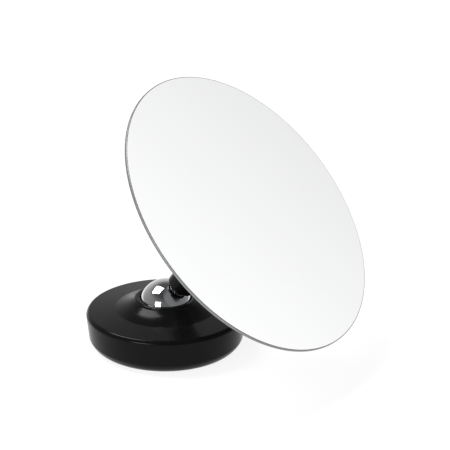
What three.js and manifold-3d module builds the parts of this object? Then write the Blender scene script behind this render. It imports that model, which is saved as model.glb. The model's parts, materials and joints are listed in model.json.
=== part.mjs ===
import * as THREE from "three";
import { mergeVertices } from "three/addons/utils/BufferGeometryUtils.js";
import Module from "manifold-3d";

// A small countertop mirror: a round polished plate on a black stem that swings on a chrome ball,
// which a weighted, magnetic round base holds. Millimetres, +Z up. The origin is the centre of the
// foot pad's underside, and the stem leans towards +X.

// Mirror plate
const mirrorDiameter = 80;
const mirrorThickness = 0.8;
const mirrorBevel = 0.2;

// Pose: the stem's lean from the vertical, and the plate's tilt from square to the stem
const stemLean = 35.7;
const mirrorTilt = 12.3;

// Ball and stem, with heights measured along the stem from the ball's centre
const ballDiameter = 14.2;
const ballFlatDiameter = 5;
const stemDiameter = 7.4;
const stemChamfer = 0.4;
const stemEndAboveBall = 0.6;
const pivotHeight = 31.2;
const studDiameter = 3;
const studInBall = 5;
const studInStem = 6;
const studCollarDiameter = 4.4;

// Knuckle between the stem and the mirror mount
const knuckleRadius = 3.2;
const knuckleRoom = 1.2;
const tongueThickness = 2.4;
const washerThickness = 0.5;
const washerDiameter = 5.6;
const knuckleScrewDiameter = 2.4;
const knuckleHeadDiameter = 4.6;
const knuckleHeadHeight = 1.3;
const knuckleSocketWidth = 1.5;
const knuckleSocketDepth = 0.7;
const knuckleNutWidth = 4.8;
const knuckleNutHeight = 1.6;
const knuckleScrewBeyondNut = 0.4;

// Mirror mount and the pad that glues it to the plate
const bossDiameter = 10.4;
const bossHeight = 1.2;
const flangeDiameter = 20;
const flangeThickness = 1.25;
const flangeConeHeight = 0.9;
const padDiameter = 19;
const padThickness = 0.6;

// Base cover
const baseDiameter = 42.4;
const wallDraft = 0.7;
const rimHeight = 10;
const rimChamferWidth = 0.6;
const rimChamferHeight = 0.9;
const rimRounding = 0.2;
const footFilletWidth = 2.4;
const footFilletHeight = 2.6;
const footFilletFullness = 0.4;
const topRise = 0.7;
const flareWidth = 5;
const flareHollow = 0.25;
const lipWidth = 1.4;
const lipHeight = 0.7;
const mouthAboveCentre = 2.4;
const sideWall = 4.6;
const topWall = 1.4;
const footLedge = 0.8;

// Underside: the pad that the object stands on and the plate that closes the base
const coverStandoff = 0.2;
const footPadThickness = 1.2;
const footPadInset = 0.6;
const bottomPlateThickness = 1.2;

// Seat under the ball
const springHeight = 1.2;
const springStock = 0.35;
const springWidth = 3.0;
const cupFloor = 0.6;
const cupWall = 1.6;
const cupHeight = 4.6;
const cupHoleDiameter = 6;
const retainerWall = 0.8;
const retainerHeight = 1.4;
const retainerLipHeight = 1.1;

// Weight ring, magnets and the screws that close the base
const weightHeight = 4.8;
const magnetCount = 3;
const magnetDiameter = 6;
const magnetThickness = 3;
const baseScrewCount = 3;
const baseScrewDiameter = 2.3;
const baseScrewHeadDiameter = 4.6;
const baseScrewHeadHeight = 1.0;
const baseScrewLength = 5.5;
const baseSocketWidth = 1.5;
const baseSocketDepth = 0.7;
const bossWall = 1.35;
const bossIntoWall = 0.3;

// Clearances
const ballClearance = 0.1;
const lipClearance = 0.2;
const slipClearance = 0.2;
const holeClearance = 0.1;
const looseClearance = 0.3;
const turnedGap = 0.25;
const washerPlay = 0.15;

// Sizes that follow
const ballRadius = ballDiameter / 2;
const stemRadius = stemDiameter / 2;
const baseRadius = baseDiameter / 2;
const plateTop = footPadThickness + bottomPlateThickness;
const cupBottom = plateTop + springHeight;
const cupTop = cupBottom + cupHeight;
const ballHeight = cupBottom + cupFloor + ballRadius;
const cupRadius = ballRadius + cupWall;
const crestHeight = ballHeight + mouthAboveCentre;
const lipRadius = ballRadius + lipWidth;
const retainerRadius = ballRadius + retainerWall;
const retainerTop = crestHeight - retainerLipHeight - holeClearance;
const cavityRadius = baseRadius - sideWall;
const recessRadius = baseRadius - wallDraft - footFilletWidth - footLedge;
const weightInnerRadius = cupRadius + slipClearance;
const weightOuterRadius = cavityRadius - looseClearance;
const magnetPitchRadius = (weightInnerRadius + weightOuterRadius) / 2;
const pilotRadius = baseScrewDiameter / 2 + holeClearance;
const coverBossRadius = pilotRadius + bossWall;
const screwPitchRadius = cavityRadius + bossIntoWall - coverBossRadius;
const ceilingHeight = rimHeight - topWall;
const stemEnd = ballRadius + stemEndAboveBall;
const shoulderHeight = pivotHeight - knuckleRadius - knuckleRoom;
const ballFlatHeight = Math.sqrt(ballRadius ** 2 - (ballFlatDiameter / 2) ** 2);
const knuckleHoleRadius = knuckleScrewDiameter / 2 + holeClearance;
const forkGap = tongueThickness + 2 * (washerThickness + 2 * washerPlay);
const earThickness = (stemDiameter - forkGap) / 2;
const mountBottom = knuckleRadius + knuckleRoom;
const flangeBottom = mountBottom + bossHeight;
const mountTop = flangeBottom + flangeConeHeight + flangeThickness;
const padBottom = mountTop + turnedGap;
const plateBack = padBottom + padThickness + turnedGap;

// Roundness: straight edges in a full turn
const coarse = 24;
const medium = 48;
const fine = 72;
const finest = 120;

// Materials
const metalBlack = { color: 0x17181a, roughness: 0.42, metalness: 0.25 };
const polishedSteel = { color: 0xe9ebec, roughness: 0.03, metalness: 1 };
const chromePlate = { color: 0xb4b7ba, roughness: 0.06, metalness: 1 };
const plainSteel = { color: 0x8f9296, roughness: 0.4, metalness: 1 };
const nickelPlate = { color: 0xc3c0b8, roughness: 0.25, metalness: 1 };
const darkSteel = { color: 0x2a2b2d, roughness: 0.35, metalness: 0.9 };
const blackRubber = { color: 0x161616, roughness: 0.85, metalness: 0 };
const blackPlastic = { color: 0x1d1e20, roughness: 0.5, metalness: 0 };
const whitePlastic = { color: 0xe4e2da, roughness: 0.5, metalness: 0 };
const foamAdhesive = { color: 0x303234, roughness: 0.9, metalness: 0 };

const wasm = await Module();
wasm.setup();

// A geometry as a manifold-3d solid, on its positions alone
function solidOf(geometry) {
  const bare = geometry.clone();
  bare.deleteAttribute("normal");
  bare.deleteAttribute("uv");
  const merged = mergeVertices(bare, 1e-4);
  return new wasm.Manifold(
    new wasm.Mesh({
      numProp: 3,
      vertProperties: merged.attributes.position.array,
      triVerts: new Uint32Array(merged.index.array),
    }),
  );
}

// A manifold-3d solid as a geometry
function geometryOf(solid) {
  const mesh = solid.getMesh();
  const geometry = new THREE.BufferGeometry();
  geometry.setAttribute("position", new THREE.BufferAttribute(mesh.vertProperties, 3));
  geometry.setIndex(new THREE.BufferAttribute(mesh.triVerts, 1));
  geometry.computeVertexNormals();
  return geometry;
}

// Joins the first list of geometries and cuts the second list from them
function shaped(joined, cut = []) {
  const whole = joined.map(solidOf).reduce((sum, part) => sum.add(part));
  return geometryOf(cut.map(solidOf).reduce((rest, part) => rest.subtract(part), whole));
}

// A profile of (radius, height) points turned about Z
function turned(points, segments) {
  const geometry = new THREE.LatheGeometry(points, segments);
  geometry.rotateX(Math.PI / 2);
  return geometry;
}

// A profile of corners turned about Z
function turnedCorners(corners, segments) {
  return turned(corners.map(([radius, height]) => new THREE.Vector2(radius, height)), segments);
}

// A closed ring: its profile ends on its first corner
function turnedRing(corners, segments) {
  return turnedCorners([...corners, corners[0]], segments);
}

// A rod along Z from one height to another
function rod(radius, from, to, segments = coarse) {
  const geometry = new THREE.CylinderGeometry(radius, radius, to - from, segments);
  geometry.rotateX(Math.PI / 2);
  geometry.translate(0, 0, (from + to) / 2);
  return geometry;
}

// A rod along Y, centred on the knuckle's pivot height
function crossRod(radius, from, to, height, segments = coarse) {
  const geometry = new THREE.CylinderGeometry(radius, radius, to - from, segments);
  geometry.translate(0, (from + to) / 2, height);
  return geometry;
}

// A six-sided prism along Z, sized across its flats
function hexagon(width, from, to) {
  return rod(width / Math.sqrt(3), from, to, 6);
}

// A plate cut from an XZ outline, centred on y
function sidePlate(shape, thickness, y) {
  const options = { depth: thickness, bevelEnabled: false, curveSegments: 12 };
  const geometry = new THREE.ExtrudeGeometry(shape, options);
  geometry.rotateX(Math.PI / 2);
  geometry.translate(0, y + thickness / 2, 0);
  return geometry;
}

// The radius of a sphere about the ball's centre, at a height above that centre
function sphereRadiusAt(sphereRadius, height) {
  return Math.sqrt(sphereRadius ** 2 - height ** 2);
}

// Points along a sphere about the ball's centre, from one angle off straight down to another
function sphereArc(sphereRadius, centreHeight, fromAngle, toAngle, steps) {
  const points = [];
  for (let step = 0; step <= steps; step += 1) {
    const angle = fromAngle + ((toAngle - fromAngle) * step) / steps;
    const radius = sphereRadius * Math.sin(angle);
    points.push(new THREE.Vector2(radius, centreHeight - sphereRadius * Math.cos(angle)));
  }
  return points;
}

// Places evenly spaced round the base, the first at an angle off +X
function placesAround(count, pitchRadius, firstAngle) {
  return Array.from({ length: count }, (_, index) => {
    const angle = firstAngle + (index * 2 * Math.PI) / count;
    return new THREE.Vector3(pitchRadius * Math.cos(angle), pitchRadius * Math.sin(angle), 0);
  });
}

// The point a distance along the way from one point to another
function towards(from, to, distance) {
  return to.clone().sub(from).setLength(distance).add(from);
}

function named(name, geometry, material) {
  const mesh = new THREE.Mesh(geometry, new THREE.MeshStandardMaterial(material));
  mesh.name = name;
  return mesh;
}

const screwPlaces = placesAround(baseScrewCount, screwPitchRadius, Math.PI);
const magnetPlaces = placesAround(magnetCount, magnetPitchRadius, 0);

// Base cover: a turned shell with a sloping top, a flared neck and a rounded lip round the ball
function baseCover() {
  const lipInner = sphereRadiusAt(ballRadius + lipClearance, mouthAboveCentre - lipClearance);
  const lipFoot = crestHeight - retainerLipHeight;
  const lipFootRadius = sphereRadiusAt(ballRadius + lipClearance, lipFoot - ballHeight);
  const retainerBore = retainerRadius + holeClearance;
  const boreFoot = lipFoot - retainerHeight - 2 * holeClearance;
  const flareFoot = lipRadius + flareWidth;
  const flareHeight = rimHeight + topRise;
  const lipStart = crestHeight - lipHeight;
  const crestRadius = (lipRadius + lipInner) / 2;
  const footStart = new THREE.Vector2(recessRadius + footLedge, coverStandoff);
  const footEnd = new THREE.Vector2(baseRadius - wallDraft, coverStandoff + footFilletHeight);
  const footCorner = new THREE.Vector2(footEnd.x, footStart.y);
  const footControl = footStart.clone().add(footEnd).divideScalar(2);
  footControl.lerp(footCorner, footFilletFullness);
  const flareStart = new THREE.Vector2(flareFoot, flareHeight);
  const flareEnd = new THREE.Vector2(lipRadius, lipStart);
  const flareControl = flareStart.clone().add(flareEnd).divideScalar(2);
  flareControl.lerp(new THREE.Vector2(lipRadius, flareHeight), flareHollow);
  const rimFoot = new THREE.Vector2(baseRadius, rimHeight - rimChamferHeight);
  const rimTop = new THREE.Vector2(baseRadius - rimChamferWidth, rimHeight);
  const outline = new THREE.Path();
  outline.moveTo(recessRadius, coverStandoff);
  outline.lineTo(footStart.x, footStart.y);
  outline.quadraticCurveTo(footControl.x, footControl.y, footEnd.x, footEnd.y);
  for (const [before, corner, after] of [
    [footEnd, rimFoot, rimTop],
    [rimFoot, rimTop, flareStart],
  ]) {
    const from = towards(corner, before, rimRounding);
    const to = towards(corner, after, rimRounding);
    outline.lineTo(from.x, from.y);
    outline.quadraticCurveTo(corner.x, corner.y, to.x, to.y);
  }
  outline.lineTo(flareStart.x, flareStart.y);
  outline.quadraticCurveTo(flareControl.x, flareControl.y, flareEnd.x, flareEnd.y);
  outline.quadraticCurveTo(lipRadius, crestHeight, crestRadius, crestHeight);
  outline.quadraticCurveTo(lipInner, crestHeight, lipInner, crestHeight - lipClearance);
  outline.lineTo(lipFootRadius, lipFoot);
  outline.lineTo(retainerBore, lipFoot);
  outline.lineTo(retainerBore, boreFoot);
  outline.lineTo(retainerBore + topWall, boreFoot - topWall / 2);
  outline.lineTo(flareFoot, flareHeight - topWall);
  outline.lineTo(cavityRadius, ceilingHeight);
  outline.lineTo(cavityRadius, plateTop);
  outline.lineTo(recessRadius, plateTop);
  outline.lineTo(recessRadius, coverStandoff);
  const shell = turned(outline.getPoints(5), fine);
  const bosses = screwPlaces.map((place) => {
    const boss = rod(coverBossRadius, plateTop, ceilingHeight + topWall / 2);
    return boss.translate(place.x, place.y, 0);
  });
  const pilots = screwPlaces.map((place) => {
    const pilot = rod(pilotRadius, plateTop - 1, ceilingHeight);
    return pilot.translate(place.x, place.y, 0);
  });
  return shaped([shell, ...bosses], pilots);
}

// Foot pad: a rubber disc glued to the bottom plate, standing proud of the cover
function footPad() {
  const radius = recessRadius - footPadInset;
  const chamfer = coverStandoff / 2;
  const corners = [
    [0, 0],
    [radius - chamfer, 0],
    [radius, chamfer],
    [radius, footPadThickness],
    [0, footPadThickness],
  ];
  return turnedCorners(corners, fine);
}

// Bottom plate: closes the base and is countersunk for its screws
function bottomPlate() {
  const disc = rod(recessRadius - slipClearance, footPadThickness, plateTop, fine);
  const headRadius = baseScrewHeadDiameter / 2 + holeClearance;
  const coneTop = footPadThickness + baseScrewHeadHeight + holeClearance;
  const countersinks = screwPlaces.map((place) => {
    const corners = [
      [0, footPadThickness - 1],
      [headRadius, footPadThickness - 1],
      [headRadius, footPadThickness],
      [pilotRadius, coneTop],
      [pilotRadius, plateTop + 1],
      [0, plateTop + 1],
    ];
    return turnedCorners(corners, coarse).translate(place.x, place.y, 0);
  });
  return shaped([disc], countersinks);
}

// Countersunk screw with a hexagon socket, its head flush with the plate's underside
function baseScrew(place) {
  const shankRadius = baseScrewDiameter / 2;
  const corners = [
    [0, footPadThickness],
    [baseScrewHeadDiameter / 2, footPadThickness],
    [shankRadius, footPadThickness + baseScrewHeadHeight],
    [shankRadius, footPadThickness + baseScrewLength - shankRadius / 2],
    [shankRadius / 2, footPadThickness + baseScrewLength],
    [0, footPadThickness + baseScrewLength],
  ];
  const socket = hexagon(baseSocketWidth, footPadThickness - 1, footPadThickness + baseSocketDepth);
  return shaped([turnedCorners(corners, coarse)], [socket]).translate(place.x, place.y, 0);
}

// Weight ring: steel ballast with pockets for the magnets and notches round the cover's bosses
function weightRing() {
  const ring = turnedRing(
    [
      [weightInnerRadius, plateTop],
      [weightOuterRadius, plateTop],
      [weightOuterRadius, plateTop + weightHeight],
      [weightInnerRadius, plateTop + weightHeight],
    ],
    fine,
  );
  const pockets = magnetPlaces.map((place) => {
    const radius = magnetDiameter / 2 + holeClearance;
    const pocket = rod(radius, plateTop - 1, plateTop + magnetThickness + slipClearance);
    return pocket.translate(place.x, place.y, 0);
  });
  const notches = screwPlaces.map((place) => {
    const notch = rod(coverBossRadius + looseClearance, plateTop - 1, plateTop + weightHeight + 1);
    return notch.translate(place.x, place.y, 0);
  });
  return shaped([ring], [...pockets, ...notches]);
}

// Magnet: a disc that lies on the bottom plate in its pocket
function magnet(place) {
  const disc = rod(magnetDiameter / 2, plateTop, plateTop + magnetThickness);
  return disc.translate(place.x, place.y, 0);
}

// Seat spring: a cone washer that presses the cup up against the ball
function seatSpring() {
  const outer = cupRadius - slipClearance;
  const inner = outer - springWidth;
  return turnedRing(
    [
      [inner, cupBottom - springStock],
      [outer, plateTop],
      [outer, plateTop + springStock],
      [inner, cupBottom],
    ],
    medium,
  );
}

// Seat cup: a low-friction cup that carries the ball's underside
function seatCup() {
  const seatRadius = ballRadius + ballClearance;
  const holeAngle = Math.asin(cupHoleDiameter / 2 / seatRadius);
  const rimAngle = Math.acos((ballHeight - cupTop) / seatRadius);
  const seat = sphereArc(seatRadius, ballHeight, holeAngle, rimAngle, 8).reverse();
  const outside = [
    new THREE.Vector2(cupHoleDiameter / 2, cupBottom),
    new THREE.Vector2(cupRadius, cupBottom),
    new THREE.Vector2(cupRadius, cupTop),
  ];
  return turned([...outside, ...seat, outside[0]], medium);
}

// Ball retainer: a ring under the cover's lip that the ball bears against
function ballRetainer() {
  const seatRadius = ballRadius + ballClearance;
  const bottom = retainerTop - retainerHeight;
  const innerAt = (height) => sphereRadiusAt(seatRadius, height - ballHeight);
  const middle = (bottom + retainerTop) / 2;
  return turnedRing(
    [
      [innerAt(bottom), bottom],
      [retainerRadius, bottom],
      [retainerRadius, retainerTop],
      [innerAt(retainerTop), retainerTop],
      [innerAt(middle), middle],
    ],
    medium,
  );
}

// Swivel ball, its centre at the origin of the leaning group: a flat and a blind hole for the stud
function swivelBall() {
  const flatAngle = Math.PI - Math.asin(ballFlatDiameter / 2 / ballRadius);
  const outside = sphereArc(ballRadius, 0, 0, flatAngle, 22);
  outside[0].x = 0;
  const holeRadius = studDiameter / 2 + holeClearance;
  const holeFoot = ballFlatHeight - studInBall - slipClearance;
  const inside = [
    new THREE.Vector2(holeRadius, ballFlatHeight),
    new THREE.Vector2(holeRadius, holeFoot),
    new THREE.Vector2(0, holeFoot),
  ];
  return turned([...outside, ...inside], medium);
}

// Stud: screwed into the ball and the stem, with a collar between them
function ballStud() {
  const radius = studDiameter / 2;
  const collarBottom = ballFlatHeight + turnedGap / 2;
  const collarTop = stemEnd - turnedGap / 2;
  const corners = [
    [0, ballFlatHeight - studInBall],
    [radius, ballFlatHeight - studInBall],
    [radius, collarBottom],
    [studCollarDiameter / 2, collarBottom],
    [studCollarDiameter / 2, collarTop],
    [radius, collarTop],
    [radius, stemEnd + studInStem],
    [0, stemEnd + studInStem],
  ];
  return turnedCorners(corners, coarse);
}

// Stem: a round bar, bored for the stud, with a rounded tongue at its top for the knuckle
function stem() {
  const boreRadius = studDiameter / 2 + holeClearance;
  const boreTop = stemEnd + studInStem + slipClearance;
  const bar = turnedCorners(
    [
      [0, boreTop],
      [boreRadius, boreTop],
      [boreRadius, stemEnd],
      [stemRadius - stemChamfer, stemEnd],
      [stemRadius, stemEnd + stemChamfer],
      [stemRadius, shoulderHeight - stemChamfer],
      [stemRadius - stemChamfer, shoulderHeight],
      [0, shoulderHeight],
    ],
    medium,
  );
  const outline = new THREE.Shape();
  outline.moveTo(-knuckleRadius, shoulderHeight - 2);
  outline.lineTo(knuckleRadius, shoulderHeight - 2);
  outline.lineTo(knuckleRadius, pivotHeight);
  outline.absarc(0, pivotHeight, knuckleRadius, 0, Math.PI, false);
  outline.lineTo(-knuckleRadius, shoulderHeight - 2);
  const bladed = sidePlate(outline, tongueThickness, 0);
  const pivotHole = crossRod(knuckleHoleRadius, -stemDiameter, stemDiameter, pivotHeight);
  return shaped([bar, bladed], [pivotHole]);
}

// Mirror mount, its pivot at the origin of the tilting group: two ears under a round flange
function mirrorMount() {
  const bossRadius = bossDiameter / 2;
  const flangeRadius = flangeDiameter / 2;
  const flange = turnedCorners(
    [
      [0, mountBottom],
      [bossRadius, mountBottom],
      [bossRadius, flangeBottom],
      [flangeRadius, flangeBottom + flangeConeHeight],
      [flangeRadius, mountTop],
      [0, mountTop],
    ],
    medium,
  );
  const outline = new THREE.Shape();
  outline.moveTo(knuckleRadius, flangeBottom);
  outline.lineTo(-knuckleRadius, flangeBottom);
  outline.lineTo(-knuckleRadius, 0);
  outline.absarc(0, 0, knuckleRadius, Math.PI, 2 * Math.PI, false);
  outline.lineTo(knuckleRadius, flangeBottom);
  const earCentre = stemRadius - earThickness / 2;
  const ears = [-earCentre, earCentre].map((y) => sidePlate(outline, earThickness, y));
  const pivotHole = crossRod(knuckleHoleRadius, -stemDiameter, stemDiameter, 0);
  return shaped([flange, ...ears], [pivotHole]);
}

// Knuckle screw: runs along +Y through both ears and the tongue, with a socket head
function knuckleScrew() {
  const headTop = -stemRadius - turnedGap;
  const headFoot = headTop - knuckleHeadHeight;
  const tip = stemRadius + turnedGap + knuckleNutHeight + knuckleScrewBeyondNut;
  const radius = knuckleScrewDiameter / 2;
  const headRadius = knuckleHeadDiameter / 2;
  const corners = [
    [0, headFoot],
    [headRadius - radius / 4, headFoot],
    [headRadius, headFoot + radius / 4],
    [headRadius, headTop],
    [radius, headTop],
    [radius, tip],
    [0, tip],
  ];
  const socket = hexagon(knuckleSocketWidth, headFoot - 1, headFoot + knuckleSocketDepth);
  return shaped([turnedCorners(corners, coarse)], [socket]).rotateX(-Math.PI / 2);
}

// Knuckle nut: a hexagon on the ear that faces +Y
function knuckleNut() {
  const from = stemRadius + turnedGap;
  const body = hexagon(knuckleNutWidth, from, from + knuckleNutHeight);
  const hole = rod(knuckleHoleRadius, from - 1, from + knuckleNutHeight + 1);
  return shaped([body], [hole]).rotateX(-Math.PI / 2);
}

// Friction washer between the tongue and one ear
function knuckleWasher(side) {
  const from = tongueThickness / 2 + washerPlay;
  const ring = turnedRing(
    [
      [knuckleHoleRadius, from],
      [washerDiameter / 2, from],
      [washerDiameter / 2, from + washerThickness],
      [knuckleHoleRadius, from + washerThickness],
    ],
    coarse,
  );
  return ring.rotateX((-side * Math.PI) / 2);
}

// Adhesive pad between the mount's flange and the plate's back
function adhesivePad() {
  return rod(padDiameter / 2, padBottom, padBottom + padThickness, medium);
}

// Mirror plate: a thin polished disc with a fine bevel on both edges
function mirrorPlate() {
  const radius = mirrorDiameter / 2;
  const front = plateBack + mirrorThickness;
  const corners = [
    [0, plateBack],
    [radius - mirrorBevel, plateBack],
    [radius, plateBack + mirrorBevel],
    [radius, front - mirrorBevel],
    [radius - mirrorBevel, front],
    [0, front],
  ];
  return turnedCorners(corners, finest);
}

// Head: everything that tilts about the knuckle's pivot
const head = new THREE.Group();
head.position.z = pivotHeight;
head.rotation.y = THREE.MathUtils.degToRad(mirrorTilt);
head.add(
  named("mirror_mount", mirrorMount(), metalBlack),
  named("knuckle_screw", knuckleScrew(), darkSteel),
  named("knuckle_nut", knuckleNut(), darkSteel),
  named("adhesive_pad", adhesivePad(), foamAdhesive),
  named("mirror_plate", mirrorPlate(), polishedSteel),
);

// Leaning group: everything that swings about the ball's centre
const swing = new THREE.Group();
swing.position.z = ballHeight;
swing.rotation.y = THREE.MathUtils.degToRad(stemLean);
swing.add(
  named("swivel_ball", swivelBall(), chromePlate),
  named("ball_stud", ballStud(), plainSteel),
  named("stem", stem(), metalBlack),
  head,
);
for (const [name, side] of [["knuckle_washer_left", 1], ["knuckle_washer_right", -1]]) {
  const washer = named(name, knuckleWasher(side), whitePlastic);
  washer.position.z = pivotHeight;
  swing.add(washer);
}

// Base: everything that stands still
const base = new THREE.Group();
base.add(
  named("base_cover", baseCover(), metalBlack),
  named("foot_pad", footPad(), blackRubber),
  named("bottom_plate", bottomPlate(), plainSteel),
  named("weight_ring", weightRing(), plainSteel),
  named("seat_spring", seatSpring(), plainSteel),
  named("seat_cup", seatCup(), whitePlastic),
  named("ball_retainer", ballRetainer(), blackPlastic),
);
screwPlaces.forEach((place, index) => {
  base.add(named(`base_screw_${index + 1}`, baseScrew(place), darkSteel));
});
magnetPlaces.forEach((place, index) => {
  base.add(named(`magnet_${index + 1}`, magnet(place), nickelPlate));
});

const group = new THREE.Group();
group.name = "countertop_mirror";
group.add(base, swing);

export default group;
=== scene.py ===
"""Detailed pieces, finishes and stage for a small countertop mirror on a weighted base.

The file is laid out as a Blender add-on and is run as a script. Every piece is shaped in
millimetres in the frame of the joint that it turns about, and is then put in its place in metres.
"""

import json
import math
from functools import partial
from types import SimpleNamespace

import bmesh
import bpy
import numpy as np
from bpy.props import FloatProperty, FloatVectorProperty, IntProperty, PointerProperty
from mathutils import Matrix, Vector


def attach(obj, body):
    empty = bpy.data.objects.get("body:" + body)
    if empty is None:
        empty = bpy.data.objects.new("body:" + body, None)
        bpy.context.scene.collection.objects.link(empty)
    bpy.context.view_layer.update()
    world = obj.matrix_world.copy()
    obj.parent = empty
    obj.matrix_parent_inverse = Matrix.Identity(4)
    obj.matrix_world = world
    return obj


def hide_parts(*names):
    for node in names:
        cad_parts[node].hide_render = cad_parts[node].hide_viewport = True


bl_info = {
    "name": "Countertop mirror",
    "version": (1, 0, 0),
    "blender": (4, 5, 0),
    "location": "View3D > Sidebar > Mirror",
    "description": "Builds the pieces, finishes and stage of a small countertop mirror",
    "category": "Object",
}

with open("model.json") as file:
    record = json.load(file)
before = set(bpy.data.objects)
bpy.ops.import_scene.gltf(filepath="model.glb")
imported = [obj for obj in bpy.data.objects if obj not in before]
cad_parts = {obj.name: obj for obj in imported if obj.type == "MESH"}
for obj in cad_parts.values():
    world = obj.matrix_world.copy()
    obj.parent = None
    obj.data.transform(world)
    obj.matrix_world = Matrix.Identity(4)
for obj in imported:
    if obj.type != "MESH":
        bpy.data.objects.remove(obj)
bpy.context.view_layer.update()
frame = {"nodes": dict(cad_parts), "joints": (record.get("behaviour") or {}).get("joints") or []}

PER_METRE = 1000.0
ON_AXIS = 1e-6
SHARP_ANGLE = math.radians(38)
UP = Vector((0, 0, 1))
ACROSS = Vector((0, 1, 0))

# Sides of the turned pieces, from the widest to the narrowest
PLATE_SIDES = 360
COVER_SIDES = 256
BALL_SIDES = 160
BAR_SIDES = 128
SCREW_SIDES = 96
WASHER_SIDES = 72
BORE_SIDES = 64
TUBE_SIDES = 32

# In millimetres: points nearer than this are one, and outlines are held this near to a corner
MEETING = 1e-5
HOLD = 0.05

# The plate's front and back are the faces whose unit normals rise or fall by more than this
FLAT = 0.999


# Sizes and places measured on the frame


def joint_named(name):
    """The frame's joint of that name."""
    return next(joint for joint in frame["joints"] if joint["name"] == name)


def standing_on(origin, axis):
    """The local frame whose origin is a point, whose Z is an axis and whose Y is the object's Y."""
    upright = Vector(axis).normalized()
    forward = ACROSS.cross(upright).normalized()
    turned_axes = Matrix((forward, ACROSS, upright)).transposed().to_4x4()
    return Matrix.Translation(Vector(origin)) @ turned_axes


def corners_of(node, local):
    """A CAD node's vertices in a local frame, in millimetres."""
    points = np.array([vertex.co for vertex in frame["nodes"][node].data.vertices], float)
    inverse = np.array(local.inverted())
    return (points @ inverse[:3, :3].T + inverse[:3, 3]) * PER_METRE


def flat_normal(node):
    """The upward normal of a flat CAD node."""
    points = np.array([vertex.co for vertex in frame["nodes"][node].data.vertices], float)
    normal = Vector(np.linalg.svd(points - points.mean(0))[2][2])
    return normal if normal.z > 0 else -normal


swing_frame = standing_on(joint_named("lean")["pos_m"], joint_named("twist")["axis"])
head_frame = standing_on(joint_named("mirror_tilt")["pos_m"], flat_normal("mirror_plate"))
base_frame = Matrix.Identity(4)

# Each local frame with the body that rides on it
ON_BASE = (base_frame, "base")
ON_BALL = (swing_frame, "ball")
ON_STEM = (swing_frame, "stem")
ON_HEAD = (head_frame, "head")

cover_cad = corners_of("base_cover", base_frame)
foot_cad = corners_of("foot_pad", base_frame)
ball_cad = corners_of("swivel_ball", swing_frame)
stud_cad = corners_of("ball_stud", swing_frame)
stem_cad = corners_of("stem", swing_frame)
mount_cad = corners_of("mirror_mount", head_frame)
screw_cad = corners_of("knuckle_screw", head_frame)
nut_cad = corners_of("knuckle_nut", head_frame)
washer_cad = corners_of("knuckle_washer_left", head_frame)
pad_cad = corners_of("adhesive_pad", head_frame)
plate_cad = corners_of("mirror_plate", head_frame)

BALL_HEIGHT = joint_named("lean")["pos_m"][2] * PER_METRE
PIVOT_HEIGHT = (head_frame.translation - swing_frame.translation).length * PER_METRE
KNUCKLE_RADIUS = stem_cad[:, 2].max() - PIVOT_HEIGHT


# Settings


def length(name, description, millimetres):
    """A length that the user may change. Its default is given in millimetres."""
    return FloatProperty(
        name=name,
        description=description,
        default=float(millimetres) / PER_METRE,
        min=0.0,
        precision=5,
        subtype="DISTANCE",
        unit="LENGTH",
    )


def share(name, description, default, most=1.0):
    """A plain number that starts at nothing."""
    return FloatProperty(
        name=name, description=description, default=default, min=0.0, max=most, precision=4
    )


def angle(name, description, degrees):
    """An angle that the user may change. Its default is given in degrees."""
    return FloatProperty(
        name=name,
        description=description,
        default=math.radians(degrees),
        precision=4,
        subtype="ANGLE",
        unit="ROTATION",
    )


def colour(name, description, default):
    """A colour that the user may change."""
    return FloatVectorProperty(
        name=name, description=description, default=default, min=0, max=1, size=4, subtype="COLOR"
    )


def count(name, description, default):
    """A whole number, of at least one."""
    return IntProperty(name=name, description=description, default=default, min=1)


def in_millimetres(settings):
    """The settings' lengths in millimetres, and their other values as they are."""
    values = {}
    for key, described in settings.bl_rna.properties.items():
        if key in {"rna_type", "name"}:
            continue
        value = getattr(settings, key)
        values[key] = value * PER_METRE if described.unit == "LENGTH" else value
    return SimpleNamespace(**values)


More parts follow.
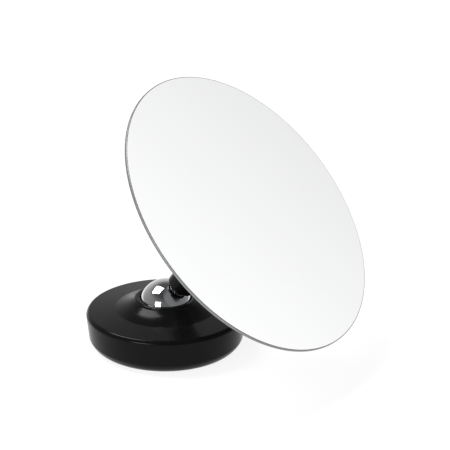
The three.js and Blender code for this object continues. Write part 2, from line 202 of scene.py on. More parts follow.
class BaseSizes(bpy.types.PropertyGroup):
    """Sizes of the base cover and of the foot pad under it."""

    radius: length("Base radius", "Widest radius of the cover", cover_cad[:, 0].max())
    foot: length("Cover foot", "Height of the cover's lower edge", cover_cad[:, 2].min())
    crest: length("Lip crest", "Height of the lip round the ball", cover_cad[:, 2].max())
    wall_draft: length("Wall draft", "How far the wall leans in at its foot", 0.7)
    rim_height: length("Rim height", "Height where the top begins", 10.0)
    rim_width: length("Rim chamfer width", "Width of the chamfer at the rim", 0.6)
    rim_drop: length("Rim chamfer height", "Height of the chamfer at the rim", 0.9)
    rim_rounding: length("Rim rounding", "Rounding of the chamfer's two edges", 0.34)
    foot_width: length("Foot rounding width", "Width of the rounding at the foot", 2.4)
    foot_rise: length("Foot rounding height", "Height of the rounding at the foot", 2.6)
    foot_fullness: share("Foot fullness", "How full the rounding at the foot is", 0.4)
    top_rise: length("Top rise", "How far the top rises to the neck", 0.7)
    flare_width: length("Flare width", "Width of the neck's hollow flare", 5.0)
    flare_hollow: share("Flare hollow", "How hollow the neck's flare is", 0.25)
    lip_width: length("Lip width", "Width of the lip outside the ball", 1.4)
    lip_height: length("Lip height", "Height of the lip's outer rounding", 0.7)
    lip_clearance: length("Lip clearance", "Gap between the lip and the ball", 0.2)
    side_wall: length("Side wall", "Thickness of the side wall", 4.6)
    top_wall: length("Top wall", "Thickness of the top wall", 1.4)
    foot_ledge: length("Foot ledge", "Width of the flat ring at the foot", 0.8)
    floor_height: length("Inner floor", "Height of the bottom plate's upper face", 2.4)
    lip_foot: length("Lip foot", "How far the lip reaches down inside", 1.1)
    retainer_room: length("Retainer room", "Depth of the ring's seat under the lip", 1.6)
    retainer_wall: length("Retainer wall", "Width of the ring's seat outside the ball", 0.9)
    boss_radius: length("Boss radius", "Radius of the tubes that the base screws go into", 2.6)
    boss_bore: length("Boss bore", "Radius of the tubes' bores", 1.25)
    boss_ring: length("Boss circle", "Radius of the circle that the tubes stand on", 14.3)
    boss_count: count("Bosses", "Number of tubes", 3)
    grip_depth: length("Grip depth", "Height of the ribs under the foot pad", 0.15)
    grip_slope: length("Grip slope", "How far the sides of the pad's rings lean", 0.1)
    ring_bore: length("Ring bore", "Inner radius of the small ring under the foot pad", 3.1)
    ring_radius: length("Ring radius", "Outer radius of the small ring under the foot pad", 3.9)
    band_width: length("Band width", "Width of the band at the foot pad's edge", 1.9)
    rib_start: length("Rib start", "Radius where the pad's ribs begin", 4.6)
    rib_margin: length("Rib margin", "How far inside the pad's edge its ribs end", 2.5)
    rib_width: length("Rib width", "Width of a rib under the foot pad", 0.5)
    rib_count: count("Ribs", "Number of ribs under the foot pad", 36)


class BallSizes(bpy.types.PropertyGroup):
    """Sizes of the swivel ball and of its stud."""

    radius: length("Ball radius", "Radius of the ball", np.ptp(ball_cad[:, 1]) / 2)
    flat_radius: length("Flat radius", "Radius of the flat under the stem", 2.5)
    flat_softness: length("Flat softness", "Rounding between the flat and the ball", 0.12)
    bore_radius: length("Bore radius", "Radius of the hole for the stud", 1.6)
    bore_depth: length("Bore depth", "Depth of the hole for the stud", 5.2)
    stud_radius: length("Stud radius", "Radius of the stud", 1.5)
    stud_foot: length("Stud foot", "Height of the stud's lower end", stud_cad[:, 2].min())
    stud_top: length("Stud top", "Height of the stud's upper end", stud_cad[:, 2].max())
    collar_radius: length("Collar radius", "Radius of the stud's collar", np.ptp(stud_cad[:, 1]) / 2)
    collar_foot: length("Collar foot", "Height of the collar's lower face", 6.77)
    collar_top: length("Collar top", "Height of the collar's upper face", 7.575)
    thread_pitch: length("Thread pitch", "Pitch of the stud's thread", 0.5)


class StemSizes(bpy.types.PropertyGroup):
    """Sizes of the stem and of the mount that the plate is glued to."""

    radius: length("Stem radius", "Radius of the bar", np.ptp(stem_cad[:, 1]) / 2)
    foot: length("Stem foot", "Height of the bar's lower end", stem_cad[:, 2].min())
    chamfer: length("Chamfer", "Chamfer at both ends of the bar", 0.4)
    shoulder: length("Shoulder", "Height where the tongue begins", PIVOT_HEIGHT - 4.4)
    bore_radius: length("Bore radius", "Radius of the hole for the stud", 1.6)
    bore_top: length("Bore top", "Height of the end of that hole", 13.9)
    tongue: length("Tongue", "Thickness of the tongue", 2.4)
    ear: length("Ear", "Thickness of each ear", 1.7)
    knuckle_radius: length("Knuckle radius", "Radius of tongue and ears", KNUCKLE_RADIUS)
    pin_hole: length("Pin hole", "Radius of the hole for the knuckle screw", 1.3)
    edge: length("Edge", "Rounding of the small edges", 0.14)
    boss_radius: length("Boss radius", "Radius of the boss over the ears", 5.2)
    boss_foot: length("Boss foot", "Height of the boss's lower face", 4.4)
    flange_foot: length("Flange foot", "Height of the flange's lower face", 5.6)
    cone: length("Flange cone", "Rise of the flange's cone", 0.9)
    flange_radius: length("Flange radius", "Radius of the flange", np.ptp(mount_cad[:, 1]) / 2)
    top: length("Mount top", "Height of the mount's upper face", mount_cad[:, 2].max())


class KnuckleSizes(bpy.types.PropertyGroup):
    """Sizes of the screw, nut and washers at the knuckle."""

    screw_radius: length("Screw radius", "Radius of the screw", 1.2)
    head_radius: length("Head radius", "Radius of the head", np.ptp(screw_cad[:, 0]) / 2)
    head_height: length("Head height", "Height of the head", 1.3)
    screw_back: length("Screw head", "How far the head reaches", -screw_cad[:, 1].min())
    screw_front: length("Screw tip", "How far the tip reaches", screw_cad[:, 1].max())
    socket_width: length("Socket width", "Width of the socket across its flats", 1.5)
    socket_depth: length("Socket depth", "Depth of the socket", 0.7)
    knurl_height: length("Knurl height", "Height of the ribs round the head", 0.1)
    knurl_width: length("Knurl width", "Width of a rib on the head", 0.22)
    knurl_count: count("Knurls", "Number of ribs round the head", 30)
    bore_play: length("Bore play", "How much wider the bores are than the screw", 0.1)
    thread_pitch: length("Thread pitch", "Pitch of the screw's thread", 0.4)
    nut_width: length("Nut width", "Width of the nut across its flats", 4.8)
    nut_from: length("Nut face", "Where the nut's inner face is", nut_cad[:, 1].min())
    nut_to: length("Nut top", "Where the nut's outer face is", nut_cad[:, 1].max())
    washer_radius: length("Washer radius", "Radius of a washer", np.ptp(washer_cad[:, 0]) / 2)
    washer_from: length("Washer face", "Where a washer's inner face is", washer_cad[:, 1].min())
    washer_to: length("Washer top", "Where a washer's outer face is", washer_cad[:, 1].max())


class PlateSizes(bpy.types.PropertyGroup):
    """Sizes of the mirror plate and of the pad behind it."""

    radius: length("Plate radius", "Radius of the plate", np.ptp(plate_cad[:, 1]) / 2)
    back: length("Plate back", "Height of the plate's back", plate_cad[:, 2].min())
    front: length("Plate front", "Height of the plate's face", plate_cad[:, 2].max())
    front_edge: length("Front edge", "Rounding of the edge round the face", 0.22)
    back_edge: length("Back edge", "Rounding of the edge round the back", 0.12)
    pad_radius: length("Pad radius", "Radius of the adhesive pad", np.ptp(pad_cad[:, 1]) / 2)
    pad_foot: length("Pad foot", "Height of the pad's lower face", pad_cad[:, 2].min())
    pad_top: length("Pad top", "Height of the pad's upper face", pad_cad[:, 2].max())
    pad_edge: length("Pad edge", "Rounding of the pad's edges", 0.15)


class FinishSettings(bpy.types.PropertyGroup):
    """Colours and surface qualities."""

    black: colour("Black", "Colour of the blasted black metal", (0.003, 0.0031, 0.0033, 1))
    black_worn: colour("Worn black", "Colour of its palest grain", (0.0055, 0.0056, 0.0059, 1))
    black_roughness: share("Black roughness", "Roughness of the black metal", 0.19)
    black_grain: length("Grain depth", "Depth of the blasted grain", 0.000004)
    steel: colour("Polished steel", "Colour of the mirror's face", (0.955, 0.957, 0.96, 1))
    steel_wiped: colour("Wiped steel", "Colour of its wiping marks", (0.93, 0.935, 0.94, 1))
    brushed: colour("Brushed steel", "Colour of the plate's back", (0.25, 0.252, 0.256, 1))
    edge: colour("Ground edge", "Colour of the plate's edge", (0.3, 0.302, 0.306, 1))
    steel_roughness: share("Polish", "Roughness of the mirror's face", 0.014)
    chrome: colour("Chrome", "Colour of the ball", (0.59, 0.595, 0.605, 1))
    chrome_roughness: share("Chrome roughness", "Roughness of the ball", 0.035)
    plain_steel: colour("Plain steel", "Colour of the hidden steel parts", (0.42, 0.43, 0.44, 1))
    dark_steel: colour("Dark steel", "Colour of the screws", (0.035, 0.036, 0.038, 1))
    nickel: colour("Nickel", "Colour of the magnets", (0.66, 0.63, 0.58, 1))
    rubber: colour("Rubber", "Colour of the foot pad", (0.011, 0.011, 0.011, 1))
    black_plastic: colour("Black plastic", "Colour of the ball retainer", (0.013, 0.014, 0.015, 1))
    white_plastic: colour("White plastic", "Colour of the cup and washers", (0.72, 0.71, 0.68, 1))
    foam: colour("Foam", "Colour of the adhesive pad", (0.03, 0.032, 0.034, 1))


class StageSettings(bpy.types.PropertyGroup):
    """The camera, the floor and the lights."""

    azimuth: angle("Azimuth", "Turn of the camera from the object's front", 30.2)
    elevation: angle("Elevation", "Height of the camera over the horizon", 21.866)
    distance: length("Distance", "From the camera to the point that it looks at", 668.4)
    lens: FloatProperty(name="Lens", description="Focal length", default=200, unit="CAMERA")
    aim: FloatVectorProperty(
        name="Aim",
        description="Point that the camera looks at",
        default=(0.00719, 0.01881, 0.02897),
        subtype="TRANSLATION",
        unit="LENGTH",
    )
    floor_size: length("Floor size", "Side of the floor", 6000)
    floor_shade: share("Floor shade", "How pale the floor is", 0.17)
    floor_glow: share("Floor glow", "Light that the floor gives of itself", 0.88, 5.0)
    key_strength: share("Key light", "Radiance of the softbox overhead", 12.0, 50.0)
    front_strength: share("Front light", "Radiance of the softbox in front", 9.0, 50.0)
    wall_light: share("Walls", "Mean radiance of the room's walls", 0.31, 5.0)
    wall_swing: share("Wall swing", "How much paler the walls are behind than in front", 0.14, 5.0)
    back_light: share("Back wall", "Further radiance of the wall behind the object", 0.44, 5.0)
    panel_light: share("Panel", "Radiance of the panel over the plate", 0.62, 5.0)
    panel_fall: share("Panel falloff", "How fast the panel's light falls off", 3.5, 5.0)
    card_light: share("Card", "Radiance of the card that the plate reflects", 0.975, 5.0)
    card_fall: share("Card falloff", "How fast the card's light falls off", 2.2, 5.0)


# Outlines, as (radius, height) points in millimetres


def curve_points(start, control, end, steps):
    """Points along a quadratic curve, without its first."""
    start, control, end = Vector(start), Vector(control), Vector(end)
    points = []
    for step in range(1, steps + 1):
        t = step / steps
        point = start * (1 - t) ** 2 + control * 2 * t * (1 - t) + end * t**2
        points.append((point.x, point.y))
    return points


def line_points(start, end, hold=HOLD):
    """Points along a straight line, without its first, held close to both ends."""
    start, end = Vector(start), Vector(end)
    reach = (end - start).length
    points = []
    if reach > 3 * hold:
        points.append(tuple(start.lerp(end, hold / reach)))
        points.append(tuple(start.lerp(end, 1 - hold / reach)))
    points.append(tuple(end))
    return points


def softened(corners, closed=False, steps=4):
    """Corners (radius, height, rounding) as an outline with rounded corners and held straights."""
    points = []
    total = len(corners)
    for index, (radius, height, rounding) in enumerate(corners):
        here = Vector((radius, height))
        last = index in {0, total - 1} and not closed
        if last or rounding <= 0:
            points.append(tuple(here))
            continue
        before = Vector(corners[index - 1][:2])
        after = Vector(corners[(index + 1) % total][:2])
        room = 0.45 * min((before - here).length, (after - here).length)
        cut = min(rounding, room)
        start = here + (before - here).normalized() * cut
        end = here + (after - here).normalized() * cut
        lead_in = here + (before - here).normalized() * min(cut * 1.6, room)
        lead_out = here + (after - here).normalized() * min(cut * 1.6, room)
        points.append(tuple(lead_in))
        points.append(tuple(start))
        points += curve_points(start, here, end, steps)
        points.append(tuple(lead_out))
    kept = points[:1]
    for point in points[1:]:
        if (Vector(point) - Vector(kept[-1])).length > MEETING:
            kept.append(point)
    return kept


def towards(start, end, distance):
    """The point a distance along the way from one outline point to another."""
    start, end = Vector(start), Vector(end)
    return tuple(start + (end - start).normalized() * distance)


# Meshes in millimetres


def mesh_of(name, build):
    """A mesh that a function fills through bmesh, its faces outwards."""
    work = bmesh.new()
    build(work)
    bmesh.ops.remove_doubles(work, verts=work.verts, dist=MEETING)
    bmesh.ops.recalc_face_normals(work, faces=work.faces)
    mesh = bpy.data.meshes.new(name)
    work.to_mesh(mesh)
    work.free()
    return mesh


def ring_of_vertices(work, sides, radius, height):
    """New vertices evenly round Z."""
    ring = []
    for side in range(sides):
        turn = 2 * math.pi * side / sides
        ring.append(work.verts.new((radius * math.cos(turn), radius * math.sin(turn), height)))
    return ring


def turned(name, outline, sides, closed=False):
    """An outline turned about Z. Its points on the axis become single poles."""

    def build(work):
        rings = []
        for radius, height in outline:
            if radius < ON_AXIS:
                rings.append([work.verts.new((0, 0, height))])
                continue
            rings.append(ring_of_vertices(work, sides, radius, height))
        pairs = list(zip(rings, rings[1:]))
        if closed:
            pairs.append((rings[-1], rings[0]))
        for lower, upper in pairs:
            for step in range(sides):
                after = (step + 1) % sides
                corners = [
                    lower[step % len(lower)],
                    lower[after % len(lower)],
                    upper[after % len(upper)],
                    upper[step % len(upper)],
                ]
                corners = list(dict.fromkeys(corners))
                if len(corners) > 2:
                    work.faces.new(corners)

    return mesh_of(name, build)


def turned_solid(name, corners, sides, steps=4):
    """Corners (radius, height, rounding) turned to a solid that is closed on the axis."""
    foot = (0.0, corners[0][1], 0.0)
    top = (0.0, corners[-1][1], 0.0)
    return turned(name, softened([foot, *corners, top], steps=steps), sides)


def turned_ring(name, corners, sides):
    """Corners (radius, height, rounding) turned to a ring."""
    return turned(name, softened(corners, closed=True), sides, closed=True)


def blade(name, outline, thickness, centre, edge, steps=3):
    """A plate across Y with a convex (x, z) outline and rounded edges."""
    points = [Vector(point) for point in outline]
    total = len(points)
    inward = []
    for index, point in enumerate(points):
        along = (points[(index + 1) % total] - points[index - 1]).normalized()
        inward.append(Vector((-along.y, along.x)))

    def build(work):
        levels = []
        for step in range(steps + 1):
            turn = 0.5 * math.pi * step / steps
            inset = edge * (1 - math.sin(turn))
            levels.append((inset, thickness / 2 - edge * (1 - math.cos(turn))))
        sections = [(inset, -reach) for inset, reach in levels]
        sections += reversed(levels)
        rings = []
        for inset, reach in sections:
            ring = []
            for point, normal in zip(points, inward):
                place = point + normal * inset
                ring.append(work.verts.new((place.x, centre + reach, place.y)))
            rings.append(ring)
        for lower, upper in zip(rings, rings[1:]):
            for index in range(total):
                after = (index + 1) % total
                work.faces.new((lower[index], lower[after], upper[after], upper[index]))
        work.faces.new(rings[0])
        work.faces.new(rings[-1])

    return mesh_of(name, build)


def prism(name, sides, width, low, high):
    """A prism about Z, sized across its flats."""

    def build(work):
        reach = width / 2 / math.cos(math.pi / sides)
        rings = [ring_of_vertices(work, sides, reach, height) for height in (low, high)]
        for side in range(sides):
            after = (side + 1) % sides
            work.faces.new((rings[0][side], rings[0][after], rings[1][after], rings[1][side]))
        work.faces.new(rings[0])
        work.faces.new(rings[1])

    return mesh_of(name, build)


def rounded_block(name, lows, highs, edge):
    """A small block between two corners, its edges rounded."""

    def build(work):
        made = bmesh.ops.create_cube(work, size=1)
        for vertex in made["verts"]:
            for axis in range(3):
                vertex.co[axis] = lows[axis] if vertex.co[axis] < 0 else highs[axis]
        edges = list(work.edges)
        bmesh.ops.bevel(work, geom=edges, offset=edge, segments=2, profile=0.5, affect="EDGES")

    return mesh_of(name, build)


def upright_to_cross(mesh):
    """Turns a mesh made about Z so that it lies along Y."""
    mesh.transform(Matrix.Rotation(-math.pi / 2, 4, "X"))
    return mesh


def evaluated_mesh(host, name):
    """The plain mesh of an object with its modifiers, and the object gone."""
    bpy.context.view_layer.update()
    graph = bpy.context.evaluated_depsgraph_get()
    mesh = bpy.data.meshes.new_from_object(host.evaluated_get(graph))
    mesh.name = name
    host.modifiers.clear()
    bpy.data.objects.remove(host)
    return mesh


def helper_object(mesh):
    """A passing object for a mesh."""
    helper = bpy.data.objects.new("helper", mesh)
    bpy.context.scene.collection.objects.link(helper)
    return helper


def combined(name, body, others, operation):
    """A mesh joined with, cut by or met by others, as solids."""
    host = helper_object(body)
    helpers = []
    for other in others:
        helper = helper_object(other)
        helpers.append(helper)
        modifier = host.modifiers.new(operation.lower(), "BOOLEAN")
        modifier.operation = operation
        modifier.solver = "EXACT"
        modifier.object = helper
    mesh = evaluated_mesh(host, name)
    for helper in helpers:
        bpy.data.objects.remove(helper)
    if not mesh.polygons:
        raise RuntimeError(f"{name}: the solids left nothing")
    return mesh


def merged(name, meshes):
    """Several meshes as one, each shell kept as it is."""
    work = bmesh.new()
    for mesh in meshes:
        work.from_mesh(mesh)
    whole = bpy.data.meshes.new(name)
    work.to_mesh(whole)
    work.free()
    return whole


# Node trees


class Quantity:
    """What a socket carries. Sums with it add maths nodes to its tree."""

    def __init__(self, work, socket):
        self.work = work
        self.socket = socket

    def math(self, operation, *numbers):
        """One maths node on one or two numbers."""
        settings = {"operation": operation}
        return self.work.result("ShaderNodeMath", settings, dict(enumerate(numbers)))

    def __add__(self, other):
        return self.math("ADD", self, other)

    def __radd__(self, other):
        return self.math("ADD", other, self)

    def __sub__(self, other):
        return self.math("SUBTRACT", self, other)

    def __rsub__(self, other):
        return self.math("SUBTRACT", other, self)

    def __mul__(self, other):
        return self.math("MULTIPLY", self, other)

    def __rmul__(self, other):
        return self.math("MULTIPLY", other, self)

    def __truediv__(self, other):
        return self.math("DIVIDE", self, other)

    def __rtruediv__(self, other):
        return self.math("DIVIDE", other, self)

    def __pow__(self, other):
        return self.math("POWER", self, other)

    def __rpow__(self, other):
        return self.math("POWER", other, self)

    def sine(self):
        """Its sine."""
        return self.math("SINE", self)

    def above(self, floor):
        """The larger of it and a number."""
        return self.math("MAXIMUM", self, floor)

    def between(self, low, high, start=0.0, end=1.0):
        """It from low to high as a smooth step from start to end."""
        settings = {"interpolation_type": "SMOOTHSTEP"}
        inputs = {"Value": self, "From Min": low, "From Max": high, "To Min": start, "To Max": end}
        return self.work.result("ShaderNodeMapRange", settings, inputs)


class TreeWork:
    """A node tree in the making."""

    def __init__(self, tree):
        self.tree = tree

    def node(self, kind, settings=None, inputs=None):
        """Adds a node, sets its settings and then its inputs."""
        made = self.tree.nodes.new(kind)
        for key, value in (settings or {}).items():
            setattr(made, key, value)
        for key, value in (inputs or {}).items():
            self.feed(made.inputs[key], value)
        return made

    def feed(self, socket, value):
        """Gives a socket a number, a colour or another socket's value."""
        if isinstance(value, Quantity):
            value = value.socket
        if isinstance(value, bpy.types.NodeSocket):
            self.tree.links.new(value, socket)
        else:
            socket.default_value = value

    def result(self, kind, settings=None, inputs=None, output=0):
        """One output of a new node, ready for sums and for other nodes."""
        return Quantity(self, self.node(kind, settings, inputs).outputs[output])


# Geometry Nodes


class NodeRecipe(TreeWork):
    """A Geometry Nodes tree in the making. Its numbers are named inputs with their defaults."""

    def __init__(self, name, **numbers):
        super().__init__(bpy.data.node_groups.new(name, "GeometryNodeTree"))
        sockets = self.tree.interface
        sockets.new_socket("Geometry", in_out="OUTPUT", socket_type="NodeSocketGeometry")
        sockets.new_socket("Geometry", in_out="INPUT", socket_type="NodeSocketGeometry")
        for key, default in numbers.items():
            kind = "NodeSocketInt" if isinstance(default, int) else "NodeSocketFloat"
            sockets.new_socket(key, in_out="INPUT", socket_type=kind).default_value = default
        sockets.new_socket("Material", in_out="INPUT", socket_type="NodeSocketMaterial")
        self.entry = self.node("NodeGroupInput")

    def value(self, name):
        """What the named input carries inside the tree."""
        return Quantity(self, self.entry.outputs[name])

    def join(self, *geometries):
        """Joins geometries."""
        made = self.node("GeometryNodeJoinGeometry")
        for geometry in geometries:
            self.feed(made.inputs["Geometry"], geometry)
        return made.outputs[0]

    def end(self, geometry):
        """Realizes instances, sets the material and closes the tree."""
        real = self.result("GeometryNodeRealizeInstances", inputs={"Geometry": geometry})
        entries = {"Geometry": real, "Material": self.value("Material")}
        painted = self.result("GeometryNodeSetMaterial", inputs=entries)
        self.node("NodeGroupOutput", inputs={"Geometry": painted})
        return self.tree


def items_in_a_ring():
    """A tree that repeats its geometry evenly round Z."""
    recipe = NodeRecipe("items_in_a_ring", Count=12)
    number = recipe.value("Count")
    points = recipe.result("GeometryNodePoints", inputs={"Count": number})
    turn = recipe.result("GeometryNodeInputIndex") / number * (2 * math.pi)
    rotation = recipe.result("ShaderNodeCombineXYZ", inputs={"Z": turn})
    entries = {"Points": points, "Instance": recipe.value("Geometry"), "Rotation": rotation}
    return recipe.end(recipe.result("GeometryNodeInstanceOnPoints", inputs=entries))


def screw_thread():
    """A tree that winds a thread round Z between two heights and joins it to its geometry."""
    recipe = NodeRecipe("screw_thread", Radius=1.0, Pitch=0.4, Low=0.0, High=1.0, Ridge=0.1)
    low = recipe.value("Low")
    reach = recipe.value("High") - low
    spiral_inputs = {
        "Resolution": 40,
        "Rotations": reach / recipe.value("Pitch"),
        "Start Radius": recipe.value("Radius"),
        "End Radius": recipe.value("Radius"),
        "Height": reach,
    }
    spiral = recipe.result("GeometryNodeCurveSpiral", inputs=spiral_inputs)
    circle_inputs = {"Resolution": 4, "Radius": recipe.value("Ridge")}
    ridge = recipe.result("GeometryNodeCurvePrimitiveCircle", {"mode": "RADIUS"}, circle_inputs)
    tube_inputs = {"Curve": spiral, "Profile Curve": ridge, "Fill Caps": True}
    tube = recipe.result("GeometryNodeCurveToMesh", inputs=tube_inputs)
    shift = recipe.result("ShaderNodeCombineXYZ", inputs={"Z": low})
    entries = {"Geometry": tube, "Translation": shift}
    lifted = recipe.result("GeometryNodeTransform", inputs=entries)
    return recipe.end(recipe.join(recipe.value("Geometry"), lifted))


def grown(name, mesh, tree, inputs):
    """The plain mesh that a Geometry Nodes tree makes of a mesh and its named inputs."""
    host = helper_object(mesh)
    modifier = host.modifiers.new(tree.name, "NODES")
    modifier.node_group = tree
    identifiers = {}
    for item in tree.interface.items_tree:
        if item.item_type == "SOCKET" and item.in_out == "INPUT":
            identifiers[item.name] = item.identifier
    for key, value in inputs.items():
        modifier[identifiers[key]] = value
    return evaluated_mesh(host, name)


# Finishes


class Shading(TreeWork):
    """The node tree of a surface or of the room's light."""

    def __init__(self, tree):
        super().__init__(tree)
        tree.nodes.clear()

    def dot(self, vector, direction):
        """How far a vector points along a direction."""
        inputs = {0: vector, 1: tuple(direction)}
        return self.result("ShaderNodeVectorMath", {"operation": "DOT_PRODUCT"}, inputs, "Value")


class Finish(Shading):
    """A surface finish. Patterns read the piece's own coordinates, in metres."""

    def __init__(self, name, **constants):
        self.material = bpy.data.materials.new(name)
        self.material.use_nodes = True
        super().__init__(self.material.node_tree)
        self.surface = self.node("ShaderNodeBsdfPrincipled")
        for key, value in constants.items():
            self.surface.inputs[key.replace("_", " ")].default_value = value
        self.node("ShaderNodeOutputMaterial", inputs={"Surface": self.surface.outputs[0]})
        self.place = self.node("ShaderNodeTexCoord").outputs["Object"]

    def grain(self, size, detail=3.0, stretch=(1, 1, 1), turn=(0, 0, 0)):
        """Noise from nothing to one. Its patches are about size millimetres across."""
        settings = {"vector_type": "TEXTURE"}
        inputs = {"Vector": self.place, "Scale": stretch, "Rotation": turn}
        vector = self.node("ShaderNodeMapping", settings, inputs).outputs[0]
        inputs = {"Vector": vector, "Scale": PER_METRE / size, "Detail": detail}
        return self.result("ShaderNodeTexNoise", {}, inputs, "Fac")

    def cells(self, size):
        """Distance to the nearest of scattered points about size millimetres apart."""
        inputs = {"Vector": self.place, "Scale": PER_METRE / size}
        return self.result("ShaderNodeTexVoronoi", {"feature": "F1"}, inputs, "Distance")

    def away_from_axis(self):
        """Distance from the object's Z axis, in millimetres."""
        parts = self.node("ShaderNodeSeparateXYZ", inputs={"Vector": self.place}).outputs
        x, y = Quantity(self, parts["X"]), Quantity(self, parts["Y"])
        return (x * x + y * y) ** 0.5 * PER_METRE

    def blend(self, amount, first, second):
        """A mix of two colours."""
        settings = {"data_type": "RGBA"}
        inputs = {0: amount, 6: tuple(first), 7: tuple(second)}
        return self.node("ShaderNodeMix", settings, inputs).outputs[2]

    def paint(self, value):
        """Feeds the colour."""
        self.feed(self.surface.inputs["Base Color"], value)

    def polish(self, value):
        """Feeds the roughness."""
        self.feed(self.surface.inputs["Roughness"], value)

    def relief(self, value, depth, strength=1.0):
        """Feeds a bump, its depth in millimetres."""
        inputs = {"Strength": strength, "Distance": depth / PER_METRE, "Height": value}
        bump = self.node("ShaderNodeBump", {}, inputs)
        self.feed(self.surface.inputs["Normal"], bump.outputs[0])


def scaled_colour(tint, factor):
    """A colour made darker or paler by a factor."""
    return tuple(min(1.0, part * factor) for part in tint[:3]) + (1,)


def blasted_black(name, settings, rings=False):
    """Black metal, blasted fine and then anodised, with faint turning rings if it was turned."""
    finish = Finish(name, IOR=1.5, Specular_IOR_Level=0.09)
    fine = finish.grain(0.16, detail=2.0)
    cloud = finish.grain(5.0, detail=4.0)
    rubbed = finish.grain(1.1, detail=5.0)
    speck = fine.between(0.35, 0.75) * 0.6 + cloud.between(0.3, 0.7) * 0.4
    finish.paint(finish.blend(speck, settings.black, settings.black_worn))
    wear = rubbed.between(0.62, 0.8) * 0.05
    finish.polish(settings.black_roughness + (cloud - 0.5) * 0.06 + (fine - 0.5) * 0.05 - wear)
    height = fine * 0.8 + rubbed * 0.2
    if rings:
        wave = (finish.away_from_axis() * 38.0 + cloud * 3.0).sine()
        height = height + wave * 0.06
    finish.relief(height, settings.black_grain * PER_METRE, 0.35)
    return finish.material


def polished_steel(name, settings):
    """The mirror's face: polished steel with faint wiping marks and hair scratches."""
    finish = Finish(name, Metallic=1.0)
    wiped = finish.grain(9.0, detail=4.0, stretch=(1.0, 3.5, 1.0), turn=(0.0, 0.5, 0.6))
    scratch = finish.grain(0.5, stretch=(1.0, 60.0, 1.0), turn=(0.2, 0.4, 1.1))
    lines = scratch.between(0.74, 0.8) * 0.02
    finish.polish(settings.steel_roughness + wiped.between(0.5, 0.85) * 0.012 + lines)
    finish.paint(finish.blend(wiped * 0.25, settings.steel, settings.steel_wiped))
    return finish.material


def brushed_steel(name, tint, roughness, depth):
    """The plate's ground edge or its brushed back."""
    finish = Finish(name, Metallic=1.0)
    brushed = finish.grain(0.12, detail=4.0, stretch=(14.0, 1.0, 1.0))
    cloud = finish.grain(7.0)
    speck = brushed.between(0.3, 0.7) * 0.7 + cloud * 0.3
    finish.paint(finish.blend(speck, scaled_colour(tint, 0.86), tint))
    finish.polish(roughness + (brushed - 0.5) * 0.16 + (cloud - 0.5) * 0.05)
    finish.relief(brushed, depth, 0.35)
    return finish.material


def chrome_plate(name, settings):
    """Chrome on the ball, with fine turning marks and rubbed patches."""
    finish = Finish(name, Metallic=1.0)
    rubbed = finish.grain(2.6, detail=5.0)
    hair = finish.grain(0.3, detail=2.0, stretch=(1.0, 1.0, 9.0), turn=(0.3, 0.5, 0.0))
    finish.paint(finish.blend(rubbed, settings.chrome, scaled_colour(settings.chrome, 1.05)))
    marks = rubbed.between(0.5, 0.8) * 0.025 + hair.between(0.6, 0.8) * 0.02
    finish.polish(settings.chrome_roughness + marks)
    return finish.material


def machined_metal(name, tint, roughness, grain_size):
    """Machined steel or plating with fine tool marks."""
    finish = Finish(name, Metallic=1.0)
    marks = finish.grain(grain_size, stretch=(1.0, 1.0, 0.25))
    cloud = finish.grain(2.5, detail=4.0)
    finish.paint(finish.blend(marks * 0.6 + cloud * 0.4, scaled_colour(tint, 0.78), tint))
    finish.polish(roughness + (cloud - 0.5) * 0.18 + (marks - 0.5) * 0.1)
    finish.relief(marks, 0.012, 0.4)
    return finish.material


def moulded(name, tint, roughness, grain_size, depth, specular=0.4):
    """Moulded plastic, rubber or foam with a fine cast grain."""
    finish = Finish(name, Specular_IOR_Level=specular)
    pits = finish.cells(grain_size)
    cloud = finish.grain(3.0, detail=4.0)
    finish.paint(finish.blend(cloud.between(0.3, 0.7), scaled_colour(tint, 0.72), tint))
    finish.polish(roughness + (cloud - 0.5) * 0.14 + (pits - 0.5) * 0.08)
    finish.relief(pits + cloud * 0.5, depth, 0.5)
    return finish.material


def finish_makers(s):
    """What makes each finish, by the finish's name."""
    metal = partial(machined_metal, tint=s.plain_steel, roughness=0.38, grain_size=0.3)
    plastic = partial(moulded, depth=0.01)
    return {
        "black_anodised": partial(blasted_black, settings=s),
        "black_anodised_turned": partial(blasted_black, settings=s, rings=True),
        "mirror_steel": partial(polished_steel, settings=s),
        "mirror_steel_brushed": partial(brushed_steel, tint=s.brushed, roughness=0.27, depth=0.006),
        "mirror_steel_edge": partial(brushed_steel, tint=s.edge, roughness=0.5, depth=0.001),
        "ball_chrome": partial(chrome_plate, settings=s),
        "plain_steel": metal,
        "dark_steel": partial(metal, tint=s.dark_steel, roughness=0.34, grain_size=0.2),
        "nickel_plate": partial(metal, tint=s.nickel, roughness=0.24, grain_size=0.5),
        "black_rubber": partial(
            moulded, tint=s.rubber, roughness=0.78, grain_size=0.25, depth=0.03, specular=0.3
        ),
        "black_plastic": partial(plastic, tint=s.black_plastic, roughness=0.48, grain_size=0.3),
        "white_plastic": partial(plastic, tint=s.white_plastic, roughness=0.42, grain_size=0.4),
        "foam_adhesive": partial(
            moulded, tint=s.foam, roughness=0.9, grain_size=0.22, depth=0.05, specular=0.2
        ),
    }


def finish_named(context, name):
    """A finish by name, made the first time that it is asked for."""
    for material in bpy.data.materials:
        if material.get("finish") == name:
            return material
    made = finish_makers(context.scene.mirror_finish)[name](name)
    made["finish"] = name
    return made


